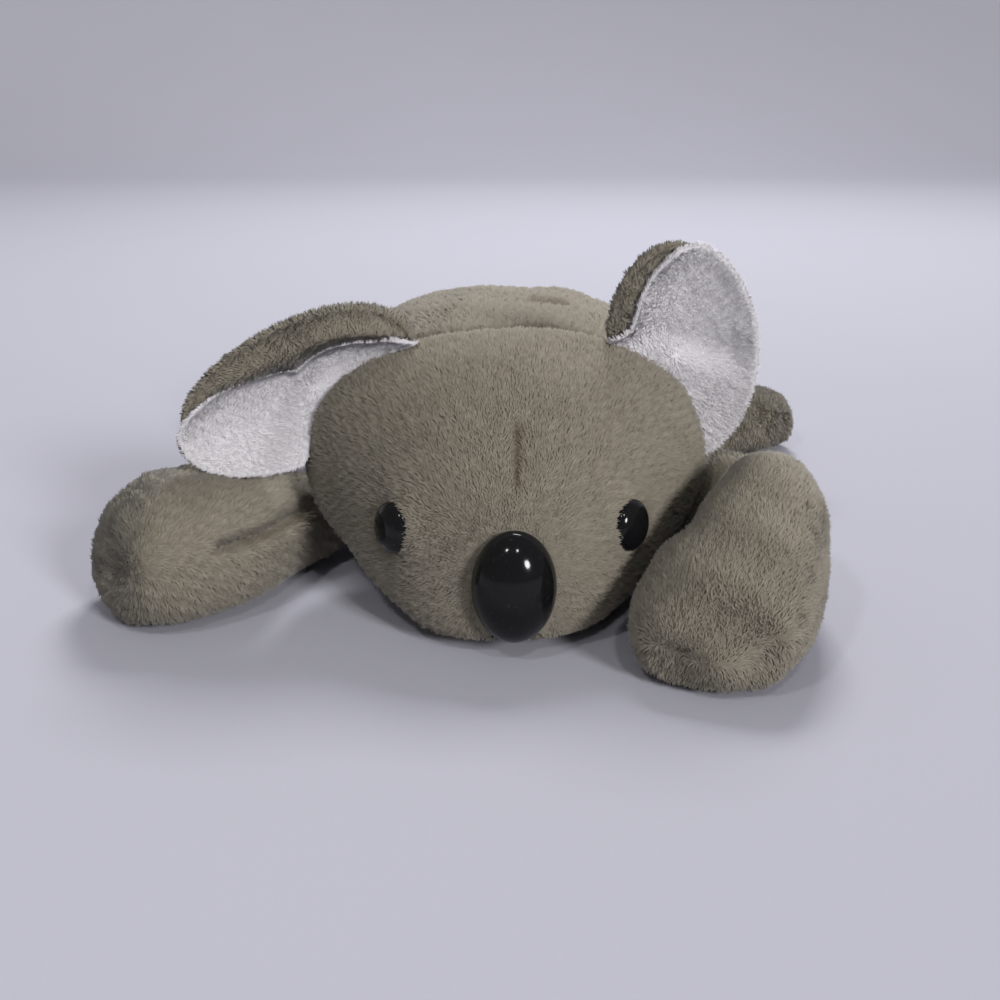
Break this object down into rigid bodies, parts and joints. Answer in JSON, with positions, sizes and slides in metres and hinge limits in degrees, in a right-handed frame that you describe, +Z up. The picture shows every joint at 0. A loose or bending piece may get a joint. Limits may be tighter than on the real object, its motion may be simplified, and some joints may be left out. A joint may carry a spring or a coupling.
{
  "type": "plush koala",
  "caption": "Bean-filled plush koala lying on its belly, with a turning and nodding head, soft round ears, limbs spread on the table, and moulded nose and eyes.",
  "frame": {"origin": "middle of the belly's resting face on the table", "axes": "+Z up, the face looks along -Y, +X towards the koala's own left"},
  "size_m": [0.2024, 0.1958, 0.0873],
  "materials": {
    "grey_plush": "matte",
    "white_plush": "matte",
    "black_plastic": "gloss",
    "stuffing": "matte",
    "washer_plastic": "satin"
  },
  "bodies": {
    "torso": {"torso_skin": "grey_plush", "torso_fill": "stuffing"},
    "neck": {"neck_wad": "stuffing"},
    "head": {"head_skin": "grey_plush", "head_fill": "stuffing", "nose": "black_plastic", "nose_washer": "washer_plastic", "eye_left": "black_plastic", "eye_left_washer": "washer_plastic", "eye_right": "black_plastic", "eye_right_washer": "washer_plastic"},
    "ear_left": {"ear_left_back": "grey_plush", "ear_left_front": "white_plush"},
    "ear_right": {"ear_right_back": "grey_plush", "ear_right_front": "white_plush"},
    "arm_left": {"arm_left_skin": "grey_plush", "arm_left_fill": "stuffing"},
    "arm_right": {"arm_right_skin": "grey_plush", "arm_right_fill": "stuffing"},
    "leg_left": {"leg_left_skin": "grey_plush", "leg_left_fill": "stuffing"},
    "leg_right": {"leg_right_skin": "grey_plush", "leg_right_fill": "stuffing"}
  },
  "joints": [
    {"name": "neck_turn", "type": "hinge", "parent": "torso", "child": "neck", "pos_m": [0, -0.044, 0.032], "axis": [0, 0, 1], "range_deg": [-6, 1], "stiffness_Nm_per_rad": 0.2},
    {"name": "head_nod", "type": "hinge", "parent": "neck", "child": "head", "pos_m": [0, -0.044, 0.032], "axis": [0.9995, 0.0314, 0], "range_deg": [-12, 2], "stiffness_Nm_per_rad": 0.6},
    {"name": "ear_left_flap", "type": "hinge", "parent": "head", "child": "ear_left", "pos_m": [0.03753, -0.05845, 0.05615], "axis": [0.8296, 0.0261, -0.5577], "range_deg": [-15, 12], "stiffness_Nm_per_rad": 0.02},
    {"name": "ear_right_flap", "type": "hinge", "parent": "head", "child": "ear_right", "pos_m": [-0.04359, -0.061, 0.05007], "axis": [0.6375, 0.02, 0.7702], "range_deg": [-15, 3], "stiffness_Nm_per_rad": 0.02},
    {"name": "arm_left_swing", "type": "hinge", "parent": "torso", "child": "arm_left", "pos_m": [0.039, -0.026, 0.013], "axis": [0, 0, 1], "range_deg": [0, 30]},
    {"name": "arm_right_swing", "type": "hinge", "parent": "torso", "child": "arm_right", "pos_m": [-0.039, -0.026, 0.013], "axis": [0, 0, 1], "range_deg": [-30, 0]},
    {"name": "leg_left_swing", "type": "hinge", "parent": "torso", "child": "leg_left", "pos_m": [0.041, 0.034, 0.0125], "axis": [0, 0, 1], "range_deg": [-20, 20]},
    {"name": "leg_right_swing", "type": "hinge", "parent": "torso", "child": "leg_right", "pos_m": [-0.041, 0.034, 0.0125], "axis": [0, 0, 1], "range_deg": [-20, 20]}
  ]
}
